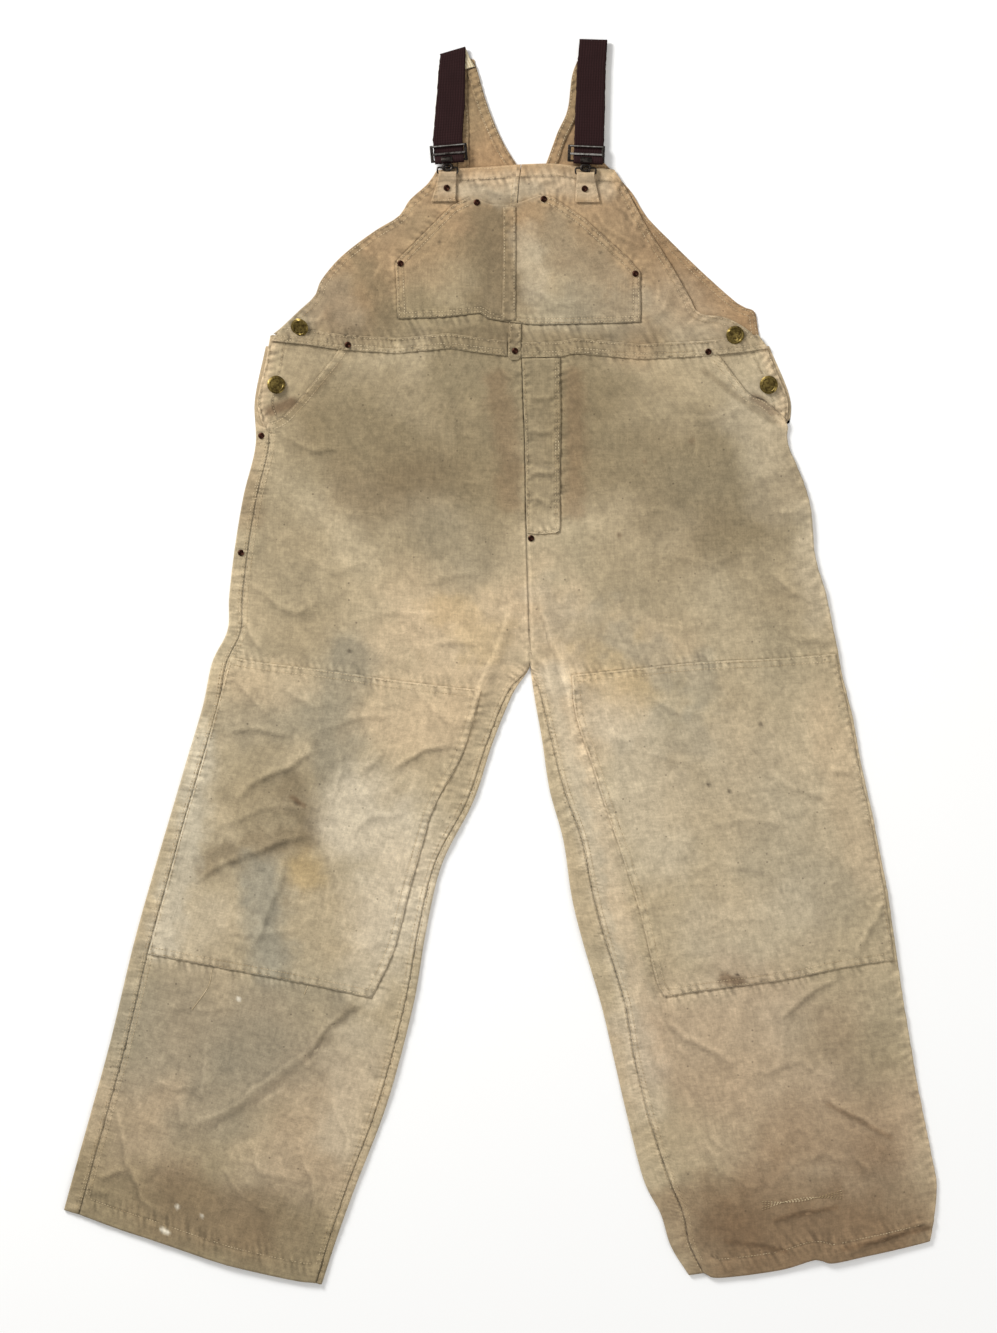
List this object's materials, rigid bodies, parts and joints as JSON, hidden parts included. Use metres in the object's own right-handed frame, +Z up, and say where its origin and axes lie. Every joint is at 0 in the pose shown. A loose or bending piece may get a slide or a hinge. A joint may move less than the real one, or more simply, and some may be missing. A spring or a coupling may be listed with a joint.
{
  "type": "bib overalls",
  "caption": "Worn and stained bib overalls of tan cotton duck with double knees, laid flat on their back, with elastic shoulder straps, slide adjusters, rivets and tack buttons.",
  "frame": {"origin": "on the surface the garment lies on, under the middle of its bounding box", "axes": "+Z up from the surface, +Y from the hems to the shoulder straps, +X to the right of someone who looks down at the garment's front with the straps away from them (the wearer's left side)"},
  "size_m": [1.0294, 1.472, 0.013],
  "materials": {
    "duck": "worn cotton duck",
    "duck_inside": "cotton duck, wrong side",
    "elastic": "elastic webbing",
    "steel": "worn plated steel",
    "brass": "antique brass",
    "copper": "dark copper"
  },
  "bodies": {
    "root": {"front_leg_left": "duck", "back_leg_left": "duck", "front_leg_right": "duck", "back_leg_right": "duck", "front_bib_left": "duck", "front_bib_right": "duck", "waistband_left": "duck", "waistband_right": "duck", "waist_tab": "duck", "fly": "duck", "chest_pocket_left": "duck", "chest_pocket_right": "duck", "pencil_strip": "duck", "knee_left": "duck", "knee_right": "duck", "strap_tab_left": "duck", "strap_tab_right": "duck", "hip_facing_left": "duck_inside", "hip_facing_right": "duck_inside", "back_bib_left": "duck_inside", "back_bib_right": "duck_inside", "back_facing_left": "duck_inside", "back_facing_right": "duck_inside", "back_side_facing": "duck_inside", "strap_left": "elastic", "adjuster_left": "steel", "hook_left": "steel", "tab_ring_left": "steel", "strap_right": "elastic", "adjuster_right": "steel", "hook_right": "steel", "tab_ring_right": "steel", "rivet_pocket_left_top": "copper", "rivet_pocket_right_top": "copper", "rivet_pocket_left_side": "copper", "rivet_pocket_right_side": "copper", "rivet_waist_left": "copper", "rivet_waist_right": "copper", "rivet_waist_centre": "copper", "rivet_fly": "copper", "rivet_side_upper": "copper", "rivet_side_lower": "copper", "rivet_tab_left": "copper", "rivet_tab_right": "copper", "button_waist_left": "brass", "button_hip_left": "brass", "button_waist_right": "brass", "button_hip_right": "brass"}
  },
  "joints": []
}
